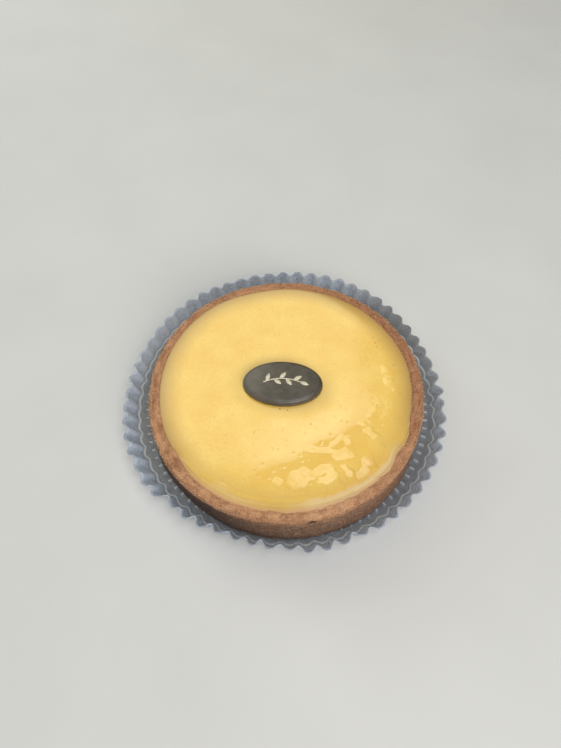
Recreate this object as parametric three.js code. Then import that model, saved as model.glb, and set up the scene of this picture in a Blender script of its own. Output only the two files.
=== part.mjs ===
// A small lemon tart in its clear fluted pastry case: a sweet pastry crust filled almost
// to the rim with lemon curd, and an oval chocolate plaque lying on the curd.
// Units are millimetres and +Z is up. The origin lies on the surface under the case,
// in the middle of the case's outline. -Y is the front.

import * as THREE from "three";
import { mergeVertices } from "three/addons/utils/BufferGeometryUtils.js";

// Crust: a cup of short pastry baked in a plain ring and settled a little wider at its foot.
const CRUST_DIAMETER = 85;
const CRUST_HEIGHT = 16.5;
const CRUST_WALL = 3.3;
const CRUST_FLOOR = 3;
const FOOT_FLARE = 0.8;
const FOOT_ROUNDING = 1.4;
const CREST_INSET = 1.2;
const CREST_ROUNDING = 1.3;
const INNER_EDGE_DROP = 1.1;
const INNER_CORNER = 2.5;
const HOLLOW_SHIFT = { x: -0.3, y: 0.6 };
const CRUMB_RELIEF = 0.16;

// Curd: poured in, with its edge rolled down to the crust and flat in the middle.
const CURD_DROP = 0.5;
const CURD_EDGE_DROP = 1.2;
const CURD_ROLL_WIDTH = 7;
const CURD_PLATEAU_RADIUS = 15;
const CURD_SWELL = 0.1;

// Plaque: an oval drop of chocolate with a thick rounded edge.
const PLAQUE_LENGTH = 24.8;
const PLAQUE_WIDTH = 15.8;
const PLAQUE_THICKNESS = 2.2;
const PLAQUE_EDGE = 1.8;
const PLAQUE_CROWN = 0.35;
const PLAQUE_OFFSET = { x: -1.3, y: 0.2 };

// Case: one vacuum-formed sheet with a flat floor and a low fluted wall.
const SHEET = 0.5;
const CASE_FLOOR_RADIUS = 50.6;
const CASE_RIM_RADIUS = 52.2;
const CASE_HEIGHT = 6;
const CASE_CORNER = 1.2;
const FLUTES = 60;
const FLUTE_CREST = THREE.MathUtils.degToRad(-57);
const FLUTE_SWING_FLOOR = 0.45;
const FLUTE_SWING_RIM = 0.75;
const FLUTE_NICK = 0.15;
const TART_OFFSET = { x: 0.4, y: -4.6 };

// Clearance between pieces that touch, and how finely round shapes are cut.
const GAP = 0.3;
const PASTRY_SEGMENTS = 72;
const PLAQUE_SEGMENTS = 40;
const SEGMENTS_PER_FLUTE = 6;
const CURVE_STEPS = 3;
const CORNER_STEPS = 2;
const SAME_POINT = 1e-4;
const CRUMB_SEED = 85;

const CRUST_RADIUS = CRUST_DIAMETER / 2;
const HOLLOW_RADIUS = CRUST_RADIUS - CRUST_WALL;

// Slow waves that keep the hand-lined pastry and the limp case from being true circles:
// [waves in one turn, swing, azimuth of a crest in degrees].
const WALL_WAVES = [[2, 0.16, 30], [4, 0.12, 125], [7, 0.07, 65]];
const CREST_WAVES = [[2, 0.14, 150], [5, 0.12, 25], [11, 0.1, 100]];
const HOLLOW_WAVES = [[4, 0.16, 50], [6, 0.14, 140], [9, 0.1, 10]];
const CASE_WAVES = [[3, 0.73, 76], [4, 0.27, 44], [5, 0.34, 66]];

// A lump of pastry pushed in over the curd, at the front right of the rim.
const LUMP_AZIMUTH = THREE.MathUtils.degToRad(-33);
const LUMP_SPREAD = THREE.MathUtils.degToRad(5);
const LUMP_REACH = 1.7;

function waveSum(waves, azimuth) {
  let sum = 0;
  for (const [count, swing, crest] of waves) {
    sum += swing * Math.cos(count * (azimuth - THREE.MathUtils.degToRad(crest)));
  }
  return sum;
}

function bump(azimuth, centre, spread) {
  const turn = Math.atan2(Math.sin(azimuth - centre), Math.cos(azimuth - centre));
  return Math.exp(-((turn / spread) ** 2));
}

// A repeatable source of numbers from 0 to 1.
function seededRandom(seed) {
  let state = seed;
  return () => {
    state = (state * 1664525 + 1013904223) % 4294967296;
    return state / 4294967296;
  };
}

// Joins the vertices that meet on the axis and at the seam, and drops the triangles
// that shrink to a line on the axis.
function joined(geometry) {
  geometry.deleteAttribute("normal");
  geometry.deleteAttribute("uv");
  const merged = mergeVertices(geometry, SAME_POINT);
  const corners = merged.getIndex().array;
  const kept = [];
  for (let i = 0; i < corners.length; i += 3) {
    const triangle = Array.from(corners.subarray(i, i + 3));
    if (new Set(triangle).size === 3) {
      kept.push(...triangle);
    }
  }
  merged.setIndex(kept);
  return merged;
}

// Turns a profile about +Z, then moves each vertex as reshape(azimuth, radius, height) says.
// reshape returns the new { x, y, z }.
function turned(profile, segments, reshape) {
  const lathe = new THREE.LatheGeometry(profile, segments);
  lathe.rotateX(Math.PI / 2);
  const geometry = joined(lathe);
  const position = geometry.attributes.position;
  for (let i = 0; i < position.count; i += 1) {
    const radius = Math.hypot(position.getX(i), position.getY(i));
    const azimuth = Math.atan2(position.getY(i), position.getX(i));
    const { x, y, z } = reshape(azimuth, radius, position.getZ(i));
    position.setXYZ(i, x, y, z);
  }
  geometry.computeVertexNormals();
  return geometry;
}

function polar(azimuth, radius, z) {
  return { x: radius * Math.cos(azimuth), y: radius * Math.sin(azimuth), z };
}

// How far the hollow's wall stands out from its plain circle.
function hollowShift(azimuth) {
  const centred = HOLLOW_SHIFT.x * Math.cos(azimuth) + HOLLOW_SHIFT.y * Math.sin(azimuth);
  const lump = LUMP_REACH * bump(azimuth, LUMP_AZIMUTH, LUMP_SPREAD);
  return centred + waveSum(HOLLOW_WAVES, azimuth) - lump;
}

function crustProfile() {
  const foot = CRUST_RADIUS + FOOT_FLARE;
  const rimTop = CRUST_HEIGHT;
  const path = new THREE.Path();
  path.moveTo(0, 0);
  path.lineTo(foot - FOOT_ROUNDING, 0);
  path.quadraticCurveTo(foot, 0, foot, FOOT_ROUNDING);
  path.lineTo(CRUST_RADIUS, rimTop / 2);
  path.lineTo(CRUST_RADIUS, rimTop - CREST_ROUNDING);
  path.quadraticCurveTo(CRUST_RADIUS, rimTop, CRUST_RADIUS - CREST_INSET, rimTop);
  path.quadraticCurveTo(HOLLOW_RADIUS, rimTop, HOLLOW_RADIUS, rimTop - INNER_EDGE_DROP);
  path.lineTo(HOLLOW_RADIUS, CRUST_FLOOR + INNER_CORNER);
  path.quadraticCurveTo(HOLLOW_RADIUS, CRUST_FLOOR, HOLLOW_RADIUS - INNER_CORNER, CRUST_FLOOR);
  path.lineTo(0, CRUST_FLOOR);
  return path.getPoints(CURVE_STEPS);
}

function crustGeometry() {
  const random = seededRandom(CRUMB_SEED);
  return turned(crustProfile(), PASTRY_SEGMENTS, (azimuth, radius, height) => {
    const inward = THREE.MathUtils.clamp((CRUST_RADIUS - radius) / CRUST_WALL, 0, 1);
    const floorward = THREE.MathUtils.smoothstep(radius, 0, HOLLOW_RADIUS);
    const top = THREE.MathUtils.smoothstep(height, CRUST_HEIGHT / 2, CRUST_HEIGHT);
    const onRim = top * (1 - Math.abs(2 * inward - 1));
    const crumb = CRUMB_RELIEF * (2 * random() - 1);
    const outer = waveSum(WALL_WAVES, azimuth) * (1 - inward);
    const inner = hollowShift(azimuth) * inward * floorward;
    const rough = height > 0 && inward < 1 ? crumb : 0;
    const rise = waveSum(CREST_WAVES, azimuth) * onRim;
    return polar(azimuth, radius + outer + inner + rough, height + rise + rough * onRim);
  });
}

// The top of the curd: a flat plateau under the plaque that swells a little and rolls
// down to the crust.
function curdProfile() {
  const side = HOLLOW_RADIUS - GAP;
  const bottom = CRUST_FLOOR + GAP;
  const level = CRUST_HEIGHT - CURD_DROP;
  const path = new THREE.Path();
  path.moveTo(0, bottom);
  path.lineTo(side - INNER_CORNER, bottom);
  path.quadraticCurveTo(side, bottom, side, bottom + INNER_CORNER);
  path.lineTo(side, CRUST_HEIGHT - CURD_EDGE_DROP);
  path.quadraticCurveTo(side - CURD_ROLL_WIDTH / 2, level, side - CURD_ROLL_WIDTH, level);
  path.lineTo(CURD_PLATEAU_RADIUS, level + CURD_SWELL);
  path.lineTo(0, level + CURD_SWELL);
  return path.getPoints(CURVE_STEPS);
}

function curdGeometry() {
  return turned(curdProfile(), PASTRY_SEGMENTS, (azimuth, radius, height) => {
    const outward = THREE.MathUtils.smoothstep(radius, CURD_PLATEAU_RADIUS, HOLLOW_RADIUS);
    return polar(azimuth, radius + hollowShift(azimuth) * outward, height);
  });
}

function plaqueProfile() {
  const half = PLAQUE_LENGTH / 2;
  const shoulder = PLAQUE_THICKNESS - PLAQUE_CROWN;
  const path = new THREE.Path();
  path.moveTo(0, 0);
  path.lineTo(half - GAP, 0);
  path.lineTo(half, GAP);
  path.quadraticCurveTo(half, shoulder, half - PLAQUE_EDGE, shoulder);
  path.quadraticCurveTo(half / 2, PLAQUE_THICKNESS, 0, PLAQUE_THICKNESS);
  return path.getPoints(CURVE_STEPS);
}

// The rounded edge is equally wide all round the oval: its rings lose as much from the
// short half as from the long one. Inside it the rings shrink evenly to the middle.
function plaqueGeometry() {
  const half = PLAQUE_LENGTH / 2;
  const lost = (PLAQUE_LENGTH - PLAQUE_WIDTH) / 2;
  const face = half - PLAQUE_EDGE;
  return turned(plaqueProfile(), PLAQUE_SEGMENTS, (azimuth, radius, height) => {
    const short = radius - lost * Math.min(radius / face, 1);
    return { x: radius * Math.cos(azimuth), y: short * Math.sin(azimuth), z: height };
  });
}

function caseProfile() {
  const lean = (CASE_RIM_RADIUS - CASE_FLOOR_RADIUS) / CASE_HEIGHT;
  const path = new THREE.Path();
  const foot = CASE_FLOOR_RADIUS - CASE_CORNER;
  const knee = CASE_FLOOR_RADIUS + CASE_CORNER * lean;
  path.moveTo(0, 0);
  path.lineTo(foot, 0);
  path.quadraticCurveTo(CASE_FLOOR_RADIUS, 0, knee, CASE_CORNER);
  path.lineTo(CASE_RIM_RADIUS, CASE_HEIGHT);
  path.lineTo(CASE_RIM_RADIUS - SHEET, CASE_HEIGHT);
  path.lineTo(knee - SHEET, CASE_CORNER + SHEET / 2);
  path.quadraticCurveTo(CASE_FLOOR_RADIUS - SHEET, SHEET, foot - SHEET / 2, SHEET);
  path.lineTo(0, SHEET);
  return path.getPoints(CORNER_STEPS);
}

// The flutes start where the floor bends up and open towards the rim. They are rounded
// outside with a narrower nick between them. The rim is bent out of round.
function caseGeometry() {
  const foot = CASE_FLOOR_RADIUS - CASE_CORNER - SHEET;
  return turned(caseProfile(), FLUTES * SEGMENTS_PER_FLUTE, (azimuth, radius, height) => {
    const flute = FLUTES * (azimuth - FLUTE_CREST);
    const wave = Math.cos(flute) - FLUTE_NICK * Math.cos(2 * flute);
    const climb = height / CASE_HEIGHT;
    const swing = THREE.MathUtils.lerp(FLUTE_SWING_FLOOR, FLUTE_SWING_RIM, climb);
    const started = THREE.MathUtils.smoothstep(radius, foot / 2, CASE_FLOOR_RADIUS);
    const bent = climb * waveSum(CASE_WAVES, azimuth);
    return polar(azimuth, radius + started * swing * wave + bent, height);
  });
}

function piece(name, geometry, look) {
  const mesh = new THREE.Mesh(geometry, new THREE.MeshStandardMaterial(look));
  mesh.name = name;
  return mesh;
}

const crust = piece("crust", crustGeometry(), { color: 0xa87750, roughness: 0.9, metalness: 0 });
const curd = piece("lemon_curd", curdGeometry(), { color: 0xf6cf70, roughness: 0.15, metalness: 0 });
const plaque = piece("plaque", plaqueGeometry(), { color: 0x6a6358, roughness: 0.5, metalness: 0 });
plaque.position.set(PLAQUE_OFFSET.x, PLAQUE_OFFSET.y, CRUST_HEIGHT - CURD_DROP + CURD_SWELL + GAP);

const tart = new THREE.Group();
tart.add(crust, curd, plaque);
tart.position.set(TART_OFFSET.x, TART_OFFSET.y, SHEET + GAP);

const pastryCase = piece("pastry_case", caseGeometry(), {
  color: 0x9aa4b2,
  roughness: 0.25,
  metalness: 0,
  transparent: true,
  opacity: 0.5,
});

const servedTart = new THREE.Group();
servedTart.add(pastryCase, tart);
servedTart.updateMatrixWorld(true);

// The bent rim shifts the case's outline, so the whole is centred on that outline.
const middle = new THREE.Box3().setFromObject(servedTart, true).getCenter(new THREE.Vector3());
servedTart.position.set(-middle.x, -middle.y, 0);

export default servedTart;
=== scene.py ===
"""Looks of a small lemon tart in its clear fluted pastry case.

The granular baked crust, the glazed curd, the chocolate plaque and the formed plastic case are
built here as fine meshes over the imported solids, with a pale floor, soft lights and a camera at
the photograph's angle. Sizes are in millimetres until a mesh is made, and metres after that.
"""

import math

import bmesh
import bpy
import numpy as np
from mathutils import Matrix, Vector, noise


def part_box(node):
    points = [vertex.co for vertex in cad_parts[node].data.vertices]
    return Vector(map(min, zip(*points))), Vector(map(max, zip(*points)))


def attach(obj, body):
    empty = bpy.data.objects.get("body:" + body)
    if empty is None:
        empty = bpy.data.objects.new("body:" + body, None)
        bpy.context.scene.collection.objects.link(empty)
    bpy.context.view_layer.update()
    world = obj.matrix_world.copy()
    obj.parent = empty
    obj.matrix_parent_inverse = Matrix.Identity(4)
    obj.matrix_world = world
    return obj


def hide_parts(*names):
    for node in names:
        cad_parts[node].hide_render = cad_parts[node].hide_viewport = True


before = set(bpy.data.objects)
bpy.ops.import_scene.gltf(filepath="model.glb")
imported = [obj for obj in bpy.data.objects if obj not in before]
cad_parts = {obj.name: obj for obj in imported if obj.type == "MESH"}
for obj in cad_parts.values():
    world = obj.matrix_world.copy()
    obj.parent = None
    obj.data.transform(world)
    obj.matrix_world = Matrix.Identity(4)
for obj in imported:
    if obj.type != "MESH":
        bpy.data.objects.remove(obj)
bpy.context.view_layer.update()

MM = 0.001
TURN = 2 * math.pi


def box_mm(node):
    """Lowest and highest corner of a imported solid, in millimetres."""
    low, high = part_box(node)
    return np.array(low) / MM, np.array(high) / MM


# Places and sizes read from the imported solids
CRUST_LOW, CRUST_HIGH = box_mm("crust")
CURD_LOW, CURD_HIGH = box_mm("lemon_curd")
PLAQUE_LOW, PLAQUE_HIGH = box_mm("plaque")
TART_MIDDLE = (CRUST_LOW + CRUST_HIGH)[:2] / 2
PLAQUE_MIDDLE = (PLAQUE_LOW + PLAQUE_HIGH)[:2] / 2
FOOT = CRUST_LOW[2]
CURD_FLOOR = CURD_LOW[2]
CURD_LEVEL = CURD_HIGH[2]
CASE_HEIGHT = box_mm("pastry_case")[1][2]

# Crust, as the solid has it: waves are (waves in a turn, swing, crest azimuth) and sides are (azimuth,
# spread), in degrees, counted from the right as seen from the front
CRUST_RADIUS = 42.5
CRUST_HEIGHT = 16.5
CRUST_WALL = 3.3
CRUST_FLOOR = 3.0
FOOT_FLARE = 0.8
FOOT_ROUNDING = 1.4
CREST_INSET = 1.2
CREST_ROUNDING = 1.9
INNER_EDGE_DROP = 1.1
INNER_CORNER = 2.5
HOLLOW_RADIUS = CRUST_RADIUS - CRUST_WALL
HOLLOW_SHIFT = (-0.3, 0.6)
RIM = FOOT + CRUST_HEIGHT
WALL_WAVES = ((2, 0.16, 30), (4, 0.12, 125), (7, 0.07, 65))
CREST_WAVES = ((2, 0.14, 150), (5, 0.12, 25), (11, 0.1, 100))
HOLLOW_WAVES = ((4, 0.16, 50), (6, 0.14, 140), (9, 0.1, 10))
LUMP_SIDE = (-33, 5)
LUMP_REACH = 1.7

# Case, as the solid has it
SHEET = 0.5
TART_OFFSET = np.array((0.4, -4.6))
CASE_MIDDLE = TART_MIDDLE - TART_OFFSET
CASE_FLOOR_RADIUS = 50.6
CASE_RIM_RADIUS = 52.2
CASE_CORNER = 1.2
CASE_WAVES = ((3, 0.73, 76), (4, 0.27, 44), (5, 0.34, 66))
FLUTES = 60
FLUTE_CREST = math.radians(-57)
FLUTE_SWING_FLOOR = 0.45
FLUTE_SWING_RIM = 0.75
FLUTE_NICK = 0.15

# Camera fitted to the photograph: it looks down on the tart from the front
PHOTO_HEIGHT = 748
FOCAL_PIXELS = 562
SENSOR = 36.0
CAMERA_DISTANCE = 188.4
CAMERA_ELEVATION = math.radians(61.06)
CAMERA_PITCH = math.radians(57.33)
CAMERA_YAW = math.radians(-1.28)
CAMERA_ROLL = math.radians(0.90)
CLIP_START = 10

# Waves that swell() adds up, with lengths as shares of the length asked for
SWELL_WAVES = 24
SWELL_LENGTHS = (0.7, 1.6)

# Small grains that scatter() makes: stretch along each axis, and how far their points stray
GRAIN_STRETCH = (0.75, 1.3)
GRAIN_STRAY = 0.25


# Shape helpers

def wave_sum(waves, azimuth):
    """Sum of slow waves round an edge, each (waves in a turn, swing, crest azimuth)."""
    return sum(swing * np.cos(count * (azimuth - math.radians(crest))) for count, swing, crest in waves)


def turned_from(azimuth, centre):
    """Degrees from an azimuth given in degrees, from -180 to 180."""
    return np.degrees(np.angle(np.exp(1j * (azimuth - math.radians(centre)))))


def bump_at(azimuth, centre, spread):
    """A smooth bump of height 1 round an azimuth given in degrees."""
    return np.exp(-((turned_from(azimuth, centre) / spread) ** 2))


def bump_sum(bumps, azimuth):
    """Sum of smooth bumps round an edge, each (azimuth, spread, height)."""
    return sum(height * bump_at(azimuth, centre, spread) for centre, spread, height in bumps)


def smoothstep(value, low, high):
    share = np.clip((value - low) / (high - low), 0, 1)
    return share * share * (3 - 2 * share)


def sector(azimuth, middle, turns):
    """1 round a middle azimuth, falling to 0 between two turns away from it."""
    return 1 - smoothstep(np.abs(turned_from(azimuth, middle)), *turns)


def line(start, end, count):
    """Points from start towards end, without end."""
    share = np.linspace(0, 1, count, endpoint=False)[:, None]
    return np.array(start) * (1 - share) + np.array(end) * share


def curve(start, control, end, count):
    """Points of a quadratic curve from start towards end, without end."""
    share = np.linspace(0, 1, count, endpoint=False)[:, None]
    ends = np.array(start) * (1 - share) ** 2 + np.array(end) * share ** 2
    return ends + 2 * np.array(control) * share * (1 - share)


def azimuths(count):
    return np.arange(count)[None, :] * TURN / count


def around(radius, azimuth, height):
    """Points at radii, azimuths and heights that are broadcast together."""
    x = radius * np.cos(azimuth)
    y = radius * np.sin(azimuth)
    return np.stack(np.broadcast_arrays(x, y, height), -1)


def sampled(points, feature, sample):
    """One value for each point, of noise with features of a given size in millimetres."""
    values = [sample(Vector(point)) for point in points.reshape(-1, 3) / feature]
    return np.array(values).reshape(points.shape[:-1])


def fractal_field(points, feature, octaves):
    return sampled(points, feature, lambda point: noise.fractal(point, 1.0, 2.0, octaves))


def cell_field(points, feature):
    """Distance from the middle of the nearest of many packed grains, in grain sizes."""
    return sampled(points, feature, lambda point: noise.voronoi(point)[0][0])


def swell(x, y, seed, length):
    """Smooth uneven waves over a plane, about one unit high, with crests about length apart."""
    rng = np.random.default_rng(seed)
    total = np.zeros_like(x)
    for _ in range(SWELL_WAVES):
        heading = rng.uniform(0, TURN)
        wave = TURN / (length * rng.uniform(*SWELL_LENGTHS))
        phase = rng.uniform(0, TURN)
        total += np.cos(wave * (x * math.cos(heading) + y * math.sin(heading)) + phase)
    return total * math.sqrt(2 / SWELL_WAVES)


def mound(away, half_width):
    """A smooth mound of height 1 that ends half_width away from its middle."""
    return np.clip(1 - (away / half_width) ** 2, 0, None) ** 2


# Mesh helpers

def skin(name, rings, middle, low_pole, high_pole):
    """A closed mesh over rings round a middle, between poles at two heights."""
    rows, columns = rings.shape[:2]
    here = np.arange(columns)
    after = (here + 1) % columns
    first = np.arange(rows - 1)[:, None] * columns
    quads = np.stack([first + here, first + after, first + columns + after, first + columns + here], -1)
    low = rows * columns
    high = low + 1
    last = (rows - 1) * columns
    bottom = np.stack([np.full(columns, low), after, here], -1)
    top = np.stack([np.full(columns, high), last + here, last + after], -1)
    points = np.concatenate([rings.reshape(-1, 3), [(0, 0, low_pole), (0, 0, high_pole)]])
    points[:, :2] += middle
    faces = quads.reshape(-1, 4).tolist() + bottom.tolist() + top.tolist()
    return mesh_object(name, points, faces)


def mesh_object(name, points, faces):
    """An object with a smooth mesh of points given in millimetres."""
    mesh = bpy.data.meshes.new(name)
    mesh.from_pydata(np.asarray(points) * MM, [], faces)
    mesh.shade_smooth()
    mesh.update()
    made = bpy.data.objects.new(name, mesh)
    bpy.context.scene.collection.objects.link(made)
    return made


def blob():
    """Points and faces of a small ball of radius 1, for grains and specks."""
    ball = bmesh.new()
    bmesh.ops.create_icosphere(ball, subdivisions=1, radius=1.0)
    points = np.array([v.co for v in ball.verts])
    faces = np.array([[v.index for v in f.verts] for f in ball.faces])
    ball.free()
    return points, faces


def scatter(name, places, sizes, rng, flat=1.0):
    """Many small grains in one mesh, each squashed to flat times its height."""
    points, faces = blob()
    all_points = []
    all_faces = []
    for index, (place, size) in enumerate(zip(places, sizes)):
        stretch = rng.uniform(*GRAIN_STRETCH, 3) * (1, 1, flat)
        rugged = 1 + rng.uniform(-GRAIN_STRAY, GRAIN_STRAY, (len(points), 1))
        turn = rng.uniform(0, TURN)
        cos, sin = math.cos(turn), math.sin(turn)
        spin = np.array([[cos, -sin, 0], [sin, cos, 0], [0, 0, 1]])
        all_points.append((points * rugged * stretch * size) @ spin.T + place)
        all_faces.append(faces + index * len(points))
    return mesh_object(name, np.concatenate(all_points), np.concatenate(all_faces).tolist())


def point_values(piece, shape, kept, poles=(0, 0)):
    """Keeps named values for the points of a skin's rings and its poles, for its material to read."""
    for name, values in kept.items():
        on_rings = np.broadcast_to(values, shape).ravel()
        attribute = piece.data.attributes.new(name, "FLOAT", "POINT")
        attribute.data.foreach_set("value", np.concatenate([on_rings, poles]).astype(np.float32))


def dress(piece, material, slot, *nodes):
    """Gives a finished piece its material and its body, and hides the solids that it stands for; the slot
    is not used.
    """
    piece.data.materials.append(material)
    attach(piece, "root")
    if nodes:
        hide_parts(*nodes)


# Material helpers

def plug(tree, sockets, **given):
    """Gives inputs of a node, named with _ for a space, values or the outputs of other nodes."""
    for name, value in given.items():
        socket = sockets[name.replace("_", " ")]
        if isinstance(value, bpy.types.NodeSocket):
            tree.links.new(value, socket)
        else:
            socket.default_value = value


class Shader:
    """A material with one Principled shader, and short ways to add the nodes that feed it."""

    def __init__(self, name):
        self.material = bpy.data.materials.new(name)
        self.material.use_nodes = True
        self.tree = self.material.node_tree
        self.shader = self.tree.nodes["Principled BSDF"]
        self.place = self.tree.nodes.new("ShaderNodeTexCoord").outputs["Object"]
        self.colour = None

    def node(self, kind, **given):
        """A new node with what is given to its inputs."""
        node = self.tree.nodes.new("ShaderNode" + kind)
        plug(self.tree, node.inputs, **given)
        return node

    def done(self, **values):
        """The material with its colour, and with values for the shader's own sockets."""
        plug(self.tree, self.shader.inputs, Base_Color=self.colour, **values)
        return self.material

    def noise(self, feature, detail, roughness=0.5):
        """Noise with features of a given size in millimetres."""
        scale = 1 / (feature * MM)
        node = self.node("TexNoise", Vector=self.place, Scale=scale, Detail=detail, Roughness=roughness)
        return node.outputs["Fac"]

    def height(self):
        """Height over the frame's origin, in metres."""
        return self.node("SeparateXYZ", Vector=self.place).outputs["Z"]

    def value(self, name):
        """The value kept for each point of the mesh under that name."""
        node = self.node("Attribute")
        node.attribute_name = name
        return node.outputs["Fac"]

    def ramp(self, factor, *stops):
        """A colour ramp with stops (position, linear colour)."""
        node = self.node("ValToRGB", Fac=factor)
        elements = node.color_ramp.elements
        while len(elements) < len(stops):
            elements.new(0.5)
        for element, (position, colour) in zip(elements, stops):
            element.position = position
            element.color = colour
        return node.outputs["Color"]

    def mix(self, factor, first, second):
        """A colour between first and second, each a colour or the output of a node."""
        node = self.node("Mix")
        node.data_type = "RGBA"
        sockets = {socket.identifier.replace("_", " "): socket for socket in node.inputs}
        plug(self.tree, sockets, Factor_Float=factor, A_Color=first, B_Color=second)
        return next(o for o in node.outputs if o.identifier == "Result_Color")

    def span(self, factor, low, high, share=1.0):
        """Maps low..high of a value, which may fall, to 0..share, held at the ends."""
        limits = {"From_Min": low, "From_Max": high, "To_Min": 0.0, "To_Max": share}
        return self.node("MapRange", Value=factor, **limits).outputs["Result"]

    def tint(self, colour, where, low=0, high=1, share=1.0):
        """Lays a display colour over the rest, up to its share, from low to high of a value."""
        factor = self.value(where) if isinstance(where, str) else where
        self.colour = self.mix(self.span(factor, low, high, share), self.colour, linear(*colour))

    def bump(self, height, distance):
        """Bump of a height that rises by distance millimetres."""
        node = self.node("Bump", Height=height, Distance=distance * MM, Strength=1.0)
        plug(self.tree, self.shader.inputs, Normal=node.outputs["Normal"])


def linear(red, green, blue):
    """A colour given as display values from 0 to 255, as the linear values that shaders take."""
    shares = np.array((red, green, blue)) / 255
    values = np.where(shares <= 0.04045, shares / 12.92, ((shares + 0.055) / 1.055) ** 2.4)
    return (*values.tolist(), 1.0)


def plain_material(name, feature, detail, first, second, roughness):
    """A material that varies softly between two linear colours."""
    look = Shader(name)
    look.colour = look.ramp(look.noise(feature, detail), (0.3, first), (0.7, second))
    return look.done(Roughness=roughness)


# Crust

CRUST_COLUMNS = 880

# Relief of the baked surface, most rugged at the crest, whose place and spread are shares of the
# wall's thickness. The offset takes the swells from another part of the noise
CRUMB_SIZE = 0.8
CRUMB_RELIEF = 0.28
CRUMB_LEVEL = 0.45
CRAG_SIZE = 1.8
CRAG_RELIEF = 0.24
SWELL_SIZE = 7.0
SWELL_RELIEF = 0.14
SWELL_OFFSET = 31
RUGGED_WALL = 0.6
RUGGED_CREST = 0.4
RUGGED_SPREAD = 0.4
FOOT_PLAIN = 1.0
RADIUS_SLACK = 0.01

# Small hole in the front of the wall, painted dark inside as shade, whose side runs between two
# shares of its outline
SLOT_AZIMUTH = -78.8
SLOT_HALF_TURN = 1.8
SLOT_HEIGHT = 11.7
SLOT_HALF_HEIGHT = 1.6
SLOT_DEPTH = 1.1
SLOT_SIDE = (0.4, 1.3)

# Sides of this one crust. The foot is tucked in. On the front left side, whose wall is painted darker
# as shade, the crest bulges out, from BULGE_START to BULGE_FULL under the rim. At the front, a little
# to the right, the crest is painted lighter as a highlight
SHADED_SIDE = (-124, 30)
TUCKED_SIDE = (-132, 16)
BAKED_SIDE = (35, 70)
HIGHLIT_SIDE = (-70, 18)
CREST_BULGE = 0.8
BULGE_START = 8.0
BULGE_FULL = 1.5

# Where colours change. Depths are shares of the crust's height down its outside, which ends at a
# share of the wall's thickness. Below the crest the wall is darker, and darker again towards the foot:
# partly the pastry's own colour and partly painted shade. The crest's colour runs further down on the
# side with painted shade
OUTSIDE = 0.36
CREST_RUN = 0.17
WALL_DEPTHS = (0.12, 0.4)
SHADE_DEPTHS = (0.08, 0.28)
HIGHLIGHT_DEPTHS = (0.05, 0.2)
STREAK_LENGTH = 5.0
STREAK_WIDTH = 0.8

# Grains of flour and sugar, over rows of the profile on both sides of the crest, most of them outside
GRAINS = 4500
GRAIN_SEED = 11
GRAIN_SIZES = (0.07, 0.18)
GRAIN_SPREAD = 14
GRAIN_ROWS = (-50, 13)
GRAIN_OUTER_SHARE = 0.7


def hollow_shift(azimuth):
    """How far the hollow's wall stands out from its plain circle."""
    centred = HOLLOW_SHIFT[0] * np.cos(azimuth) + HOLLOW_SHIFT[1] * np.sin(azimuth)
    lump = LUMP_REACH * bump_at(azimuth, *LUMP_SIDE)
    return centred + wave_sum(HOLLOW_WAVES, azimuth) - lump


def crust_profile():
    """Points (radius, height) from the middle of the foot round the rim to the hollow's floor."""
    floor = FOOT + CRUST_FLOOR
    foot_radius = CRUST_RADIUS + FOOT_FLARE
    foot_in = (foot_radius - FOOT_ROUNDING, FOOT)
    foot_out = (foot_radius, FOOT + FOOT_ROUNDING)
    waist = (CRUST_RADIUS, FOOT + CRUST_HEIGHT / 2)
    shoulder = (CRUST_RADIUS, RIM - CREST_ROUNDING)
    crest = (CRUST_RADIUS - CREST_INSET, RIM)
    lip = (HOLLOW_RADIUS, RIM - INNER_EDGE_DROP)
    corner = (HOLLOW_RADIUS, floor + INNER_CORNER)
    inner = (HOLLOW_RADIUS - INNER_CORNER, floor)
    return np.concatenate([
        line((CRUST_RADIUS / 2, FOOT), foot_in, 3),
        curve(foot_in, (foot_radius, FOOT), foot_out, 6),
        line(foot_out, waist, 24),
        line(waist, shoulder, 26),
        curve(shoulder, (CRUST_RADIUS, RIM), crest, 14),
        curve(crest, (HOLLOW_RADIUS, RIM), lip, 17),
        line(lip, corner, 4),
        curve(corner, (HOLLOW_RADIUS, floor), inner, 4),
        line(inner, (CRUST_RADIUS / 2, floor), 2),
    ])


def slot_hole(azimuth, height):
    """Share of the depth of the small hole in the front of the wall, which is painted dark as shade."""
    across = turned_from(azimuth, SLOT_AZIMUTH) / SLOT_HALF_TURN
    upwards = (height - FOOT - SLOT_HEIGHT) / SLOT_HALF_HEIGHT
    return 1 - smoothstep(across ** 4 + upwards ** 2, *SLOT_SIDE)


def wall_shares(profile):
    """Shares of the way in through the wall and up its upper half."""
    inward = np.clip((CRUST_RADIUS - profile[:, :1]) / CRUST_WALL, 0, 1)
    top = smoothstep(profile[:, 1:], FOOT + CRUST_HEIGHT / 2, RIM)
    return inward, top


def crust_form(profile, azimuth):
    """Radii and heights of the crust with its slow waves, its tucked foot and its bulging crest."""
    radius = profile[:, :1]
    height = profile[:, 1:]
    inward, top = wall_shares(profile)
    on_rim = top * (1 - np.abs(2 * inward - 1))
    floorward = smoothstep(radius, 0, HOLLOW_RADIUS)
    low_down = 1 - smoothstep(height, FOOT, FOOT + CRUST_HEIGHT / 2)
    tucked = FOOT_FLARE * bump_at(azimuth, *TUCKED_SIDE) * low_down
    high_up = smoothstep(height, RIM - BULGE_START, RIM - BULGE_FULL)
    bulge = CREST_BULGE * bump_at(azimuth, *SHADED_SIDE) * high_up
    outer = wave_sum(WALL_WAVES, azimuth) - tucked + bulge
    radius = radius + outer * (1 - inward) + hollow_shift(azimuth) * inward * floorward
    return radius, height + wave_sum(CREST_WAVES, azimuth) * on_rim


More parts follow.
